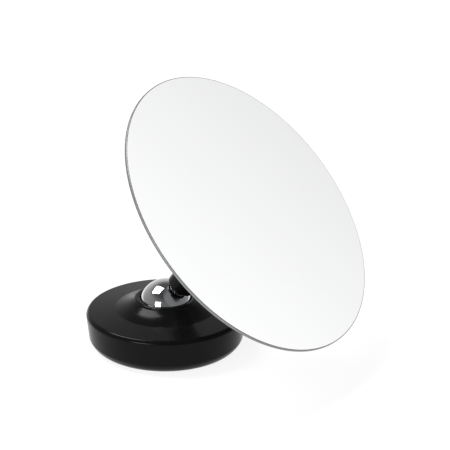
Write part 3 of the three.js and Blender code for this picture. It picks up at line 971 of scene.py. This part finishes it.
def finished_piece(context, name, mesh, place, node, slot, finish_names=()):
    """Puts a mesh in its place, in metres, ties it to its body and hides its CAD node.

    Without finish names it gets the finish that its slot is named after.
    """
    local, body = place
    mesh.transform(local @ Matrix.Scale(1 / PER_METRE, 4))
    if mesh.materials:
        mesh.materials.clear()
    for finish_name in finish_names or (slot,):
        mesh.materials.append(finish_named(context, finish_name))
    for polygon in mesh.polygons:
        polygon.use_smooth = True
    mesh.set_sharp_from_angle(angle=SHARP_ANGLE)
    mesh.update()
    piece = bpy.data.objects.new(name, mesh)
    context.scene.collection.objects.link(piece)
    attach(piece, body)
    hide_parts(node)


# Pieces


class MIRROR_OT_base_cover(bpy.types.Operator):
    """Build the turned base cover with its flared neck, its lip and the tubes inside it"""

    bl_idname = "countertop_mirror.base_cover"
    bl_label = "Base cover"

    def execute(self, context):
        """Builds the piece."""
        s = in_millimetres(context.scene.mirror_base)
        ball = in_millimetres(context.scene.mirror_ball)
        outline = cover_outline(s, ball)
        shell = turned("base_cover_turned", outline, COVER_SIDES, closed=True)
        tube_top = s.rim_height - s.top_wall / 2
        tube_corners = [
            (s.boss_bore, s.floor_height, 0.08),
            (s.boss_radius, s.floor_height, 0.08),
            (s.boss_radius, tube_top, 0.0),
            (s.boss_bore, tube_top, 0.0),
        ]
        tube = turned_ring("tube", tube_corners, TUBE_SIDES)
        tube.transform(Matrix.Translation((-s.boss_ring, 0, 0)))
        finish_name = "black_anodised_turned"
        ring_inputs = {"Count": s.boss_count, "Material": finish_named(context, finish_name)}
        tubes = grown("tubes", tube, items_in_a_ring(), ring_inputs)
        mesh = merged("base_cover_turned", [shell, tubes])
        slot = "black_anodised"
        finished_piece(context, "cover", mesh, ON_BASE, "base_cover", slot, (finish_name,))
        return {"FINISHED"}


def cover_outline(s, ball):
    """The cover's closed outline, from the foot over the rim and the lip and back inside."""
    mouth = s.crest - s.lip_clearance - BALL_HEIGHT
    room = ball.radius + s.lip_clearance
    lip_radius = ball.radius + s.lip_width
    lip_inner = math.sqrt(room**2 - mouth**2)
    lip_foot = s.crest - s.lip_foot
    lip_foot_radius = math.sqrt(room**2 - (lip_foot - BALL_HEIGHT) ** 2)
    recess = s.radius - s.wall_draft - s.foot_width - s.foot_ledge
    foot_start = (recess + s.foot_ledge, s.foot)
    foot_end = (s.radius - s.wall_draft, s.foot + s.foot_rise)
    foot_middle = Vector(foot_start).lerp(Vector(foot_end), 0.5)
    foot_control = foot_middle.lerp(Vector((foot_end[0], foot_start[1])), s.foot_fullness)
    rim_start = (s.radius, s.rim_height - s.rim_drop)
    rim_end = (s.radius - s.rim_width, s.rim_height)
    flare_start = (lip_radius + s.flare_width, s.rim_height + s.top_rise)
    flare_end = (lip_radius, s.crest - s.lip_height)
    flare_middle = Vector(flare_start).lerp(Vector(flare_end), 0.5)
    flare_control = flare_middle.lerp(Vector((lip_radius, flare_start[1])), s.flare_hollow)
    crest_radius = (lip_radius + lip_inner) / 2
    seat_radius = ball.radius + s.retainer_wall
    seat_foot = lip_foot - s.retainer_room
    cavity = s.radius - s.side_wall
    ceiling = s.rim_height - s.top_wall
    outline = [(recess, s.foot)]
    outline += line_points(outline[-1], foot_start)
    outline += curve_points(foot_start, foot_control, foot_end, steps=16)
    for before, corner, after in (
        (foot_end, rim_start, rim_end),
        (rim_start, rim_end, flare_start),
    ):
        into = towards(corner, before, s.rim_rounding)
        out = towards(corner, after, s.rim_rounding)
        outline += line_points(outline[-1], into, hold=0.08)
        outline += curve_points(into, corner, out, steps=8)
    outline += line_points(outline[-1], flare_start, hold=0.1)
    outline += curve_points(flare_start, flare_control, flare_end, steps=28)
    crest = (crest_radius, s.crest)
    outline += curve_points(flare_end, (lip_radius, s.crest), crest, steps=10)
    lip_end = (lip_inner, s.crest - s.lip_clearance)
    outline += curve_points(crest, (lip_inner, s.crest), lip_end, steps=8)
    inner = [
        (lip_foot_radius, lip_foot),
        (seat_radius, lip_foot),
        (seat_radius, seat_foot),
        (seat_radius + s.top_wall, seat_foot - s.top_wall / 2),
        (lip_radius + s.flare_width, ceiling + s.top_rise),
        (cavity, ceiling),
        (cavity, s.floor_height),
        (recess, s.floor_height),
    ]
    for corner in inner:
        outline += line_points(outline[-1], corner)
    outline += line_points(outline[-1], outline[0])[:-1]
    return outline


class MIRROR_OT_foot_pad(bpy.types.Operator):
    """Build the rubber foot pad with its moulded grip ribs"""

    bl_idname = "countertop_mirror.foot_pad"
    bl_label = "Foot pad"

    def execute(self, context):
        """Builds the piece."""
        s = in_millimetres(context.scene.mirror_base)
        radius = foot_cad[:, 0].max()
        top = foot_cad[:, 2].max()
        sole = s.grip_depth
        slope = s.grip_slope
        band = radius - s.band_width
        corners = [
            (s.ring_bore - slope, sole, 0.04),
            (s.ring_bore, 0.0, 0.04),
            (s.ring_radius, 0.0, 0.04),
            (s.ring_radius + slope, sole, 0.04),
            (band - slope, sole, 0.04),
            (band, 0.0, 0.04),
            (radius - slope, 0.0, 0.05),
            (radius, slope, 0.05),
            (radius, top, 0.08),
        ]
        disc = turned_solid("foot_pad_moulded", corners, BALL_SIDES)
        lows = (s.rib_start, -s.rib_width / 2, 0.0)
        highs = (radius - s.rib_margin, s.rib_width / 2, sole + 0.2)
        rib = rounded_block("rib", lows, highs, edge=0.06)
        ring_inputs = {"Count": s.rib_count, "Material": finish_named(context, "black_rubber")}
        ribs = grown("ribs", rib, items_in_a_ring(), ring_inputs)
        mesh = merged("foot_pad_moulded", [disc, ribs])
        finished_piece(context, "foot", mesh, ON_BASE, "foot_pad", "black_rubber")
        return {"FINISHED"}


class MIRROR_OT_inner_parts(bpy.types.Operator):
    """Give the parts inside the base their finishes"""

    bl_idname = "countertop_mirror.inner_parts"
    bl_label = "Parts inside the base"

    def execute(self, context):
        """Paints the frame's own parts."""
        kept = {
            "bottom_plate": "plain_steel",
            "weight_ring": "plain_steel",
            "seat_spring": "plain_steel",
            "seat_cup": "white_plastic",
            "ball_retainer": "black_plastic",
        }
        for number in (1, 2, 3):
            kept[f"base_screw_{number}"] = "dark_steel"
            kept[f"magnet_{number}"] = "nickel_plate"
        for node, finish_name in kept.items():
            for material_slot in frame["nodes"][node].material_slots:
                material_slot.material = finish_named(context, finish_name)
        return {"FINISHED"}


class MIRROR_OT_ball(bpy.types.Operator):
    """Build the swivel ball and the threaded stud that ties it to the stem"""

    bl_idname = "countertop_mirror.ball"
    bl_label = "Ball and stud"

    def execute(self, context):
        """Builds both pieces."""
        s = in_millimetres(context.scene.mirror_ball)
        flat_height = math.sqrt(s.radius**2 - s.flat_radius**2)
        turn_end = math.pi - math.asin((s.flat_radius + s.flat_softness) / s.radius)
        outline = [(0.0, -s.radius)]
        steps = 96
        for step in range(1, steps + 1):
            turn = turn_end * step / steps
            outline.append((s.radius * math.sin(turn), -s.radius * math.cos(turn)))
        corner = (s.flat_radius, flat_height)
        flat_start = (s.flat_radius - s.flat_softness, flat_height)
        outline += curve_points(outline[-1], corner, flat_start, steps=4)
        chamfer = 0.1
        bore_foot = flat_height - s.bore_depth
        outline += line_points(outline[-1], (s.bore_radius + chamfer, flat_height))
        outline += line_points(outline[-1], (s.bore_radius, flat_height - chamfer))
        outline += line_points(outline[-1], (s.bore_radius, bore_foot))
        outline.append((0.0, bore_foot - chamfer))
        ball = turned("swivel_ball_turned", outline, BALL_SIDES)
        finished_piece(context, "ball_turned", ball, ON_BALL, "swivel_ball", "ball_chrome")
        ridge = s.thread_pitch * 0.42
        core = s.stud_radius - ridge
        corners = [
            (core, s.stud_foot, 0.1),
            (core, s.collar_foot, 0.02),
            (s.collar_radius, s.collar_foot, 0.08),
            (s.collar_radius, s.collar_top, 0.08),
            (core, s.collar_top, 0.02),
            (core, s.stud_top, 0.1),
        ]
        stud = turned_solid("ball_stud_turned", corners, BORE_SIDES)
        tree = screw_thread()
        for low, high in ((s.stud_foot, s.collar_foot), (s.collar_top, s.stud_top)):
            inputs = {
                "Radius": core,
                "Pitch": s.thread_pitch,
                "Low": low + ridge * 1.2,
                "High": high - ridge * 1.2,
                "Ridge": ridge,
                "Material": finish_named(context, "plain_steel"),
            }
            stud = grown("ball_stud_turned", stud, tree, inputs)
        finished_piece(context, "stud", stud, ON_BALL, "ball_stud", "plain_steel")
        return {"FINISHED"}


def knuckle_outline(radius, centre, far, steps=40):
    """A half-round end about a centre height that runs straight on to a far height."""
    side = 1 if centre > far else -1
    points = []
    for step in range(steps + 1):
        turn = math.pi * step / steps
        points.append((radius * math.cos(turn), centre + side * radius * math.sin(turn)))
    points.append((-radius, (centre + far) / 2))
    points.append((-radius, far))
    points.append((radius, far))
    points.append((radius, (centre + far) / 2))
    return points if side > 0 else points[::-1]


def cross_rod(radius, reach, height):
    """A plain cutter across Y at a height."""
    corners = [(0.0, -reach), (radius, -reach), (radius, reach), (0.0, reach)]
    mesh = upright_to_cross(turned("cutter", corners, BORE_SIDES))
    mesh.transform(Matrix.Translation((0, 0, height)))
    return mesh


class MIRROR_OT_stem(bpy.types.Operator):
    """Build the black stem: a chamfered bar with a rounded tongue"""

    bl_idname = "countertop_mirror.stem"
    bl_label = "Stem"

    def execute(self, context):
        """Builds the piece."""
        s = in_millimetres(context.scene.mirror_stem)
        corners = [
            (0.0, s.bore_top + 0.6, 0.0),
            (s.bore_radius, s.bore_top, 0.0),
            (s.bore_radius, s.foot, 0.06),
            (s.radius - s.chamfer, s.foot, 0.1),
            (s.radius, s.foot + s.chamfer, 0.1),
            (s.radius, s.shoulder - s.chamfer, 0.1),
            (s.radius - s.chamfer, s.shoulder, 0.1),
            (0.0, s.shoulder, 0.0),
        ]
        bar = turned("bar", softened(corners), BAR_SIDES)
        outline = knuckle_outline(s.knuckle_radius, PIVOT_HEIGHT, s.shoulder - 2.0)
        tongue = blade("tongue", outline, s.tongue, 0.0, s.edge)
        joined = combined("stem_joined", bar, [tongue], "UNION")
        hole = cross_rod(s.pin_hole, s.radius * 2, PIVOT_HEIGHT)
        mesh = combined("stem_machined", joined, [hole], "DIFFERENCE")
        finished_piece(context, "stem_bar", mesh, ON_STEM, "stem", "black_anodised")
        return {"FINISHED"}


class MIRROR_OT_mount(bpy.types.Operator):
    """Build the mount: a coned flange on a boss with two ears"""

    bl_idname = "countertop_mirror.mount"
    bl_label = "Mirror mount"

    def execute(self, context):
        """Builds the piece."""
        s = in_millimetres(context.scene.mirror_stem)
        corners = [
            (s.boss_radius, s.boss_foot, 0.15),
            (s.boss_radius, s.flange_foot, 0.1),
            (s.flange_radius, s.flange_foot + s.cone, 0.15),
            (s.flange_radius, s.top, 0.15),
        ]
        flange = turned_solid("flange", corners, BAR_SIDES)
        outline = knuckle_outline(s.knuckle_radius, 0.0, s.flange_foot)
        centre = s.radius - s.ear / 2
        ears = [blade("ear", outline, s.ear, side * centre, s.edge) for side in (-1, 1)]
        joined = combined("mount_joined", flange, ears, "UNION")
        hole = cross_rod(s.pin_hole, s.radius * 2, 0.0)
        mesh = combined("mount_machined", joined, [hole], "DIFFERENCE")
        finished_piece(context, "mount", mesh, ON_HEAD, "mirror_mount", "black_anodised")
        return {"FINISHED"}


class MIRROR_OT_knuckle(bpy.types.Operator):
    """Build the knuckle's screw with its knurled head, its nut and its friction washers"""

    bl_idname = "countertop_mirror.knuckle"
    bl_label = "Knuckle screw, nut and washers"

    def execute(self, context):
        """Builds the pieces."""
        s = in_millimetres(context.scene.mirror_knuckle)
        self.make_screw(context, s)
        self.make_nut(context, s)
        self.make_washers(context, s)
        return {"FINISHED"}

    def make_screw(self, context, s):
        """The screw, along +Y."""
        head_foot = -s.screw_back
        head_top = head_foot + s.head_height
        ridge = s.thread_pitch * 0.3
        core = s.screw_radius - ridge
        round_head = s.head_radius - s.knurl_height
        dome = 0.3
        corners = [
            (round_head, head_foot, dome),
            (round_head, head_top, 0.08),
            (s.screw_radius, head_top, 0.05),
            (s.screw_radius, s.nut_from, 0.02),
            (core, s.nut_from, 0.02),
            (core, s.screw_front, 0.12),
        ]
        turned_screw = turned_solid("screw", corners, SCREW_SIDES)
        socket = prism("socket", 6, s.socket_width, head_foot - 1, head_foot + s.socket_depth)
        screw = combined("screw_cut", turned_screw, [socket], "DIFFERENCE")
        dark = finish_named(context, "dark_steel")
        edge = 0.05
        lows = (round_head - s.knurl_height, -s.knurl_width / 2, head_foot + dome + edge)
        highs = (s.head_radius, s.knurl_width / 2, head_top - 2 * edge)
        knurl = rounded_block("knurl", lows, highs, edge)
        ring_inputs = {"Count": s.knurl_count, "Material": dark}
        knurls = grown("knurls", knurl, items_in_a_ring(), ring_inputs)
        thread_inputs = {
            "Radius": core,
            "Pitch": s.thread_pitch,
            "Low": s.nut_from + ridge,
            "High": s.screw_front - ridge * 1.3,
            "Ridge": ridge,
            "Material": dark,
        }
        threaded = grown("screw_threaded", screw, screw_thread(), thread_inputs)
        mesh = upright_to_cross(merged("knuckle_screw_knurled", [threaded, knurls]))
        finished_piece(context, "screw", mesh, ON_HEAD, "knuckle_screw", "dark_steel")

    def make_nut(self, context, s):
        """The nut: a hexagon with turned-down corners and a countersunk bore."""
        reach = s.nut_width / math.sqrt(3)
        height = s.nut_to - s.nut_from
        slope = height * 0.16
        hexagon = prism("hexagon", 6, s.nut_width, s.nut_from, s.nut_to)
        face_radius = s.nut_width / 2 - 0.05
        clear = 0.3
        corners = [
            (face_radius, s.nut_from, 0.04),
            (reach, s.nut_from + slope, 0.04),
            (reach + clear, s.nut_from + slope * 1.5, 0.0),
            (reach + clear, s.nut_to - slope * 1.5, 0.0),
            (reach, s.nut_to - slope, 0.04),
            (face_radius, s.nut_to, 0.04),
        ]
        blank = turned_solid("blank", corners, SCREW_SIDES)
        faced = combined("nut_faced", hexagon, [blank], "INTERSECT")
        bore = s.screw_radius + s.bore_play
        mouth = bore + 0.3
        sink = 0.25
        over = 1.0
        drill_outline = [
            (0.0, s.nut_from - over),
            (mouth, s.nut_from - over),
            (mouth, s.nut_from),
            (bore, s.nut_from + sink),
            (bore, s.nut_to - sink),
            (mouth, s.nut_to),
            (mouth, s.nut_to + over),
            (0.0, s.nut_to + over),
        ]
        drill = turned("drill", drill_outline, BORE_SIDES)
        mesh = upright_to_cross(combined("knuckle_nut_faced", faced, [drill], "DIFFERENCE"))
        finished_piece(context, "nut", mesh, ON_HEAD, "knuckle_nut", "dark_steel")

    def make_washers(self, context, s):
        """The two friction washers beside the tongue."""
        pivot_frame = swing_frame @ Matrix.Translation((0, 0, PIVOT_HEIGHT / PER_METRE))
        bore = s.screw_radius + s.bore_play
        edge = 0.08
        corners = [
            (bore, s.washer_from, edge),
            (s.washer_radius, s.washer_from, edge),
            (s.washer_radius, s.washer_to, edge),
            (bore, s.washer_to, edge),
        ]
        for side, turn in (("left", -0.5), ("right", 0.5)):
            mesh = turned_ring("washer", corners, WASHER_SIDES)
            mesh.transform(Matrix.Rotation(turn * math.pi, 4, "X"))
            name = f"washer_{side}"
            place = (pivot_frame, "stem")
            finished_piece(context, name, mesh, place, f"knuckle_washer_{side}", "white_plastic")


class MIRROR_OT_plate(bpy.types.Operator):
    """Build the mirror plate, polished in front and brushed behind, and its adhesive pad"""

    bl_idname = "countertop_mirror.plate"
    bl_label = "Mirror plate and adhesive pad"

    def execute(self, context):
        """Builds both pieces."""
        s = in_millimetres(context.scene.mirror_plate)
        corners = [(s.radius, s.back, s.back_edge), (s.radius, s.front, s.front_edge)]
        plate = turned_solid("mirror_plate_polished", corners, PLATE_SIDES, steps=8)
        face, back, edge = range(3)
        for polygon in plate.polygons:
            lift = polygon.normal.z
            polygon.material_index = edge
            if abs(lift) > FLAT:
                polygon.material_index = face if lift > 0 else back
        names = ("mirror_steel", "mirror_steel_brushed", "mirror_steel_edge")
        finished_piece(context, "plate", plate, ON_HEAD, "mirror_plate", "mirror_steel", names)
        corners = [(s.pad_radius, s.pad_foot, s.pad_edge), (s.pad_radius, s.pad_top, s.pad_edge)]
        pad = turned_solid("adhesive_pad_cut", corners, BAR_SIDES)
        finished_piece(context, "pad", pad, ON_HEAD, "adhesive_pad", "foam_adhesive")
        return {"FINISHED"}


# Stage

# How far each softbox stands from the ball and how far the floor lies under the foot, in metres
SOFTBOX_REACH = 1.1
FLOOR_DROP = 0.00002

# Each softbox: its direction, its roll and how wide and how high it looks, in degrees
KEY_SOFTBOX = (Vector((-0.47, -0.118, 0.875)), 61, 31, 30)
FRONT_SOFTBOX = (Vector((-0.09, -0.938, 0.333)), 12, 24, 20)

# Directions in the room: where a light is, and which way it grows stronger
BACK_WALL = Vector((-0.643, 0.766, 0.0))
CARD = Vector((0.4189, 0.8021, 0.4252)).normalized()
CARD_RISE = Vector((0.741, -0.573, 0.352)).normalized()
PANEL = Vector((0.32, 0.0, 0.95)).normalized()
PANEL_RISE = Vector((0.3, 0.95, -0.1)).normalized()

# Cosines from a light's direction: where it begins and where it is full
CARD_EDGE = (0.962, 0.988)
PANEL_EDGE = (0.93, 0.99)

# Heights between which the walls darken towards the ceiling, and the share that is left there
WALL_TOP = (0.45, 0.85)
CEILING_SHARE = 0.3

# How steeply the back wall's light falls off to its sides
BACK_WALL_POWER = 5


class MIRROR_OT_stage(bpy.types.Operator):
    """Set the floor, the lights, the room and the camera"""

    bl_idname = "countertop_mirror.stage"
    bl_label = "Stage"

    def execute(self, context):
        """Builds the stage."""
        s = context.scene.mirror_stage
        self.make_floor(context, s)
        self.make_room(context, s)
        self.make_softbox(context, "key_softbox", s.key_strength, *KEY_SOFTBOX)
        self.make_softbox(context, "front_softbox", s.front_strength, *FRONT_SOFTBOX)
        self.make_camera(context, s)
        context.scene.view_settings.view_transform = "Standard"
        context.scene.view_settings.look = "None"
        return {"FINISHED"}

    def make_floor(self, context, s):
        """A plain pale floor."""
        half = s.floor_size / 2
        mesh = bpy.data.meshes.new("floor")
        sides = ((-half, -half), (half, -half), (half, half), (-half, half))
        mesh.from_pydata([(x, y, -FLOOR_DROP) for x, y in sides], [], [(0, 1, 2, 3)])
        finish = Finish("floor_paper", Roughness=0.9, Specular_IOR_Level=0.0)
        dull = (s.floor_shade, s.floor_shade, s.floor_shade, 1)
        finish.paint(finish.blend(finish.grain(2.0), dull, scaled_colour(dull, 1.03)))
        finish.surface.inputs["Emission Color"].default_value = (1, 1, 1, 1)
        finish.surface.inputs["Emission Strength"].default_value = s.floor_glow
        mesh.materials.append(finish.material)
        floor = bpy.data.objects.new("floor", mesh)
        context.scene.collection.objects.link(floor)

    def make_room(self, context, s):
        """The room's light: dim walls, a paler back wall and a card that the plate reflects."""
        world = bpy.data.worlds.new("room")
        context.scene.world = world
        world.use_nodes = True
        room = Shading(world.node_tree)
        direction = room.node("ShaderNodeTexCoord").outputs["Generated"]
        height = room.dot(direction, UP)
        behind = room.dot(direction, BACK_WALL)
        card = room.dot(direction, CARD)
        ramp = room.dot(direction, CARD_RISE)
        even = s.wall_light + behind * s.wall_swing
        peak = behind.above(0.0) ** BACK_WALL_POWER * s.back_light
        walls = (even + peak) * height.between(*WALL_TOP, 1.0, CEILING_SHARE)
        window = card.between(*CARD_EDGE)
        shown = s.card_light + ramp * s.card_fall
        panel = room.dot(direction, PANEL).between(*PANEL_EDGE)
        slope = room.dot(direction, PANEL_RISE)
        overhead = (s.panel_light + slope * s.panel_fall).above(0.0) * panel
        total = (walls + overhead) * (1.0 - window) + shown * window
        inputs = {"Color": (1, 1, 1, 1), "Strength": total}
        background = room.node("ShaderNodeBackground", {}, inputs)
        room.node("ShaderNodeOutputWorld", inputs={"Surface": background.outputs[0]})

    def make_softbox(self, context, name, radiance, direction, roll, wide, high):
        """A rectangular light, turned to the ball and rolled."""
        light = bpy.data.lights.new(name, "AREA")
        light.shape = "RECTANGLE"
        light.size = 2 * SOFTBOX_REACH * math.tan(math.radians(wide / 2))
        light.size_y = 2 * SOFTBOX_REACH * math.tan(math.radians(high / 2))
        light.energy = radiance * math.pi * light.size * light.size_y
        lamp = bpy.data.objects.new(name, light)
        context.scene.collection.objects.link(lamp)
        aim = Vector((0, 0, BALL_HEIGHT / PER_METRE))
        lamp.location = aim + direction.normalized() * SOFTBOX_REACH
        turn = direction.to_track_quat("Z", "Y").to_matrix()
        turn = turn @ Matrix.Rotation(math.radians(roll), 3, "Z")
        lamp.rotation_euler = turn.to_euler()

    def make_camera(self, context, s):
        """The camera, a long lens turned on the object."""
        camera_data = bpy.data.cameras.new("camera")
        camera_data.lens = s.lens
        camera_data.sensor_width = 36
        camera_data.clip_start = 0.01
        camera_data.clip_end = 100
        camera_data.dof.use_dof = False
        camera = bpy.data.objects.new("camera", camera_data)
        context.scene.collection.objects.link(camera)
        flat = math.cos(s.elevation)
        outward = Vector((flat * math.sin(s.azimuth), -flat * math.cos(s.azimuth), 0))
        outward.z = math.sin(s.elevation)
        camera.location = Vector(s.aim) + outward * s.distance
        camera.rotation_euler = outward.to_track_quat("Z", "Y").to_euler()
        context.scene.camera = camera


PIECES = (
    MIRROR_OT_base_cover,
    MIRROR_OT_foot_pad,
    MIRROR_OT_inner_parts,
    MIRROR_OT_ball,
    MIRROR_OT_stem,
    MIRROR_OT_mount,
    MIRROR_OT_knuckle,
    MIRROR_OT_plate,
    MIRROR_OT_stage,
)


class MIRROR_PT_pieces(bpy.types.Panel):
    """Buttons for the pieces in the sidebar."""

    bl_idname = "MIRROR_PT_pieces"
    bl_label = "Countertop mirror"
    bl_space_type = "VIEW_3D"
    bl_region_type = "UI"
    bl_category = "Mirror"

    def draw(self, context):
        """Lists the pieces."""
        for piece in PIECES:
            self.layout.operator(piece.bl_idname)


GROUPS = {
    "mirror_base": BaseSizes,
    "mirror_ball": BallSizes,
    "mirror_stem": StemSizes,
    "mirror_knuckle": KnuckleSizes,
    "mirror_plate": PlateSizes,
    "mirror_finish": FinishSettings,
    "mirror_stage": StageSettings,
}


def register():
    """Registers the classes and their settings."""
    for group in GROUPS.values():
        bpy.utils.register_class(group)
    for piece in PIECES:
        bpy.utils.register_class(piece)
    bpy.utils.register_class(MIRROR_PT_pieces)
    for name, group in GROUPS.items():
        setattr(bpy.types.Scene, name, PointerProperty(type=group))


def unregister():
    """Takes the settings and classes away again."""
    for name in GROUPS:
        delattr(bpy.types.Scene, name)
    bpy.utils.unregister_class(MIRROR_PT_pieces)
    for piece in reversed(PIECES):
        bpy.utils.unregister_class(piece)
    for group in reversed(GROUPS.values()):
        bpy.utils.unregister_class(group)


def main():
    """Builds every piece and the stage."""
    register()
    bpy.ops.countertop_mirror.base_cover()
    bpy.ops.countertop_mirror.foot_pad()
    bpy.ops.countertop_mirror.inner_parts()
    bpy.ops.countertop_mirror.ball()
    bpy.ops.countertop_mirror.stem()
    bpy.ops.countertop_mirror.mount()
    bpy.ops.countertop_mirror.knuckle()
    bpy.ops.countertop_mirror.plate()
    bpy.ops.countertop_mirror.stage()


if __name__ == "__main__":
    main()
